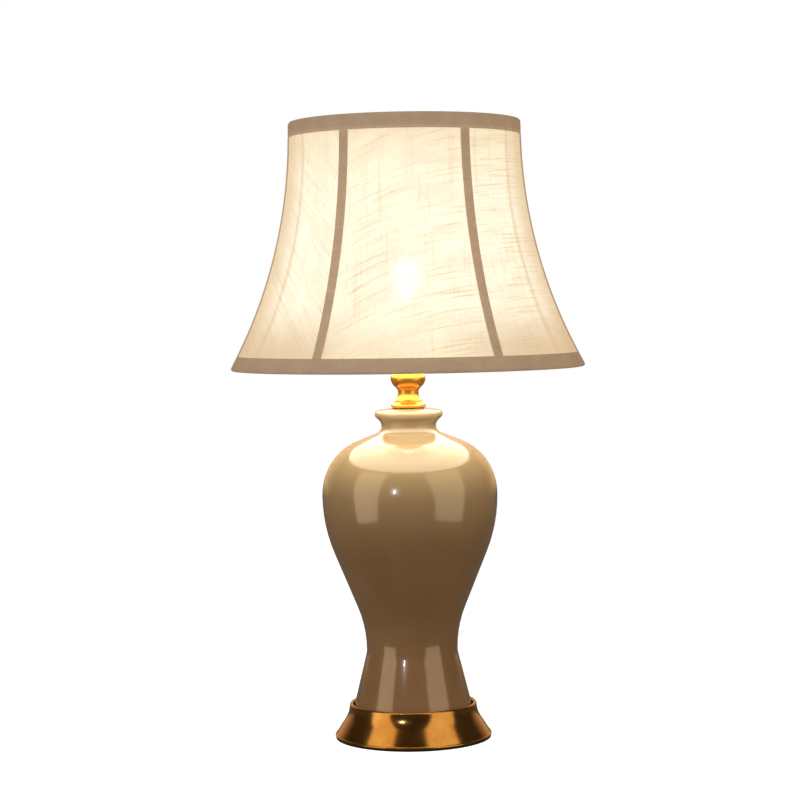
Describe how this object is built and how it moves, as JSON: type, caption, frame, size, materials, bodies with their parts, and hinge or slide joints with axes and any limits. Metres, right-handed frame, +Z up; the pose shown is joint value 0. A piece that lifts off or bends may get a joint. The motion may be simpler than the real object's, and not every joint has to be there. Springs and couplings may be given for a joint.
{
  "type": "table lamp with shade",
  "caption": "Table lamp with a glazed baluster vase body, a flared brass foot and a bell shade of cloth panels on a wire frame, with its bulb.",
  "frame": {"origin": "middle of the underside of the felt, where the lamp rests", "axes": "+Z up along the lamp's turning axis; the front looks along -Y; the cord gland is at the back, towards +Y"},
  "size_m": [0.301, 0.301, 0.521],
  "materials": {
    "felt": "dark needled felt",
    "foot_brass": "antique brushed brass, lacquered",
    "gland_rubber": "matt black rubber",
    "cast_weight": "rough cast, painted",
    "zinc_steel": "zinc plated",
    "glazed_ceramic": "clear high-gloss glaze over warm taupe body colour",
    "neck_brass": "polished, lacquered",
    "porcelain": "unglazed porcelain",
    "holder_plastic": "ivory moulded plastic",
    "contact_brass": "plain drawn brass",
    "bulb_cap_metal": "nickel plated",
    "bulb_insulator": "black glass",
    "bulb_plastic": "white moulded plastic",
    "opal_globe": "opal diffuser, lit",
    "led_plate": "white solder resist",
    "shade_linen": "slubbed cream cloth, lit from inside",
    "lining_cloth": "fine plain lining, lit",
    "trim_tape": "folded woven tape, warm taupe",
    "coated_wire": "white powder coat"
  },
  "bodies": {
    "stand": {"base_felt": "felt", "base_shell": "foot_brass", "cord_gland": "gland_rubber", "base_weight": "cast_weight", "clamp_washer": "zinc_steel", "lock_washer": "zinc_steel", "bottom_nut": "zinc_steel", "threaded_rod": "zinc_steel", "foot_gasket": "gland_rubber", "vase": "glazed_ceramic", "neck_gasket": "gland_rubber", "neck_spindle": "neck_brass", "holder_cap": "neck_brass", "terminal_block": "porcelain", "terminal_screws": "zinc_steel", "holder_shell": "holder_plastic", "screw_shell": "contact_brass", "centre_contact": "contact_brass", "lower_shade_ring": "holder_plastic"},
    "shade": {"shade_panel_1": "shade_linen", "shade_panel_2": "shade_linen", "shade_panel_3": "shade_linen", "shade_panel_4": "shade_linen", "shade_panel_5": "shade_linen", "shade_panel_6": "shade_linen", "shade_lining": "lining_cloth", "rib_tape_1": "trim_tape", "rib_tape_2": "trim_tape", "rib_tape_3": "trim_tape", "rib_tape_4": "trim_tape", "rib_tape_5": "trim_tape", "rib_tape_6": "trim_tape", "top_band": "trim_tape", "hem_band": "trim_tape", "top_ring": "coated_wire", "hem_ring": "coated_wire", "rib_wire_1": "coated_wire", "rib_wire_2": "coated_wire", "rib_wire_3": "coated_wire", "rib_wire_4": "coated_wire", "rib_wire_5": "coated_wire", "rib_wire_6": "coated_wire", "fitter_ring": "coated_wire", "drop_arm_1": "coated_wire", "drop_arm_2": "coated_wire", "drop_arm_3": "coated_wire"},
    "ring_nut": {"upper_shade_ring": "holder_plastic"},
    "bulb_lift": {"bulb_contact": "bulb_cap_metal", "bulb_insulator": "bulb_insulator"},
    "bulb": {"bulb_cap": "bulb_cap_metal", "bulb_housing": "bulb_plastic", "bulb_globe": "opal_globe", "led_plate": "led_plate"}
  },
  "joints": [
    {"name": "shade_turn", "type": "hinge", "parent": "stand", "child": "shade", "pos_m": [0, 0, 0.334], "axis": [0, 0, 1], "continuous": true},
    {"name": "ring_nut_turn", "type": "hinge", "parent": "stand", "child": "ring_nut", "pos_m": [0, 0, 0.339], "axis": [0, 0, 1], "range_deg": [0, 90]},
    {"name": "bulb_rise", "type": "slide", "parent": "stand", "child": "bulb_lift", "axis": [0, 0, 1], "range_m": [0, 0.0183]},
    {"name": "bulb_turn", "type": "hinge", "parent": "bulb_lift", "child": "bulb", "pos_m": [0, 0, 0.34], "axis": [0, 0, 1], "range_deg": [0, 1800]}
  ],
  "couplings": [
    {"joint": "bulb_rise", "follows": "bulb_turn", "m_per_rad": 0.00057757}
  ]
}
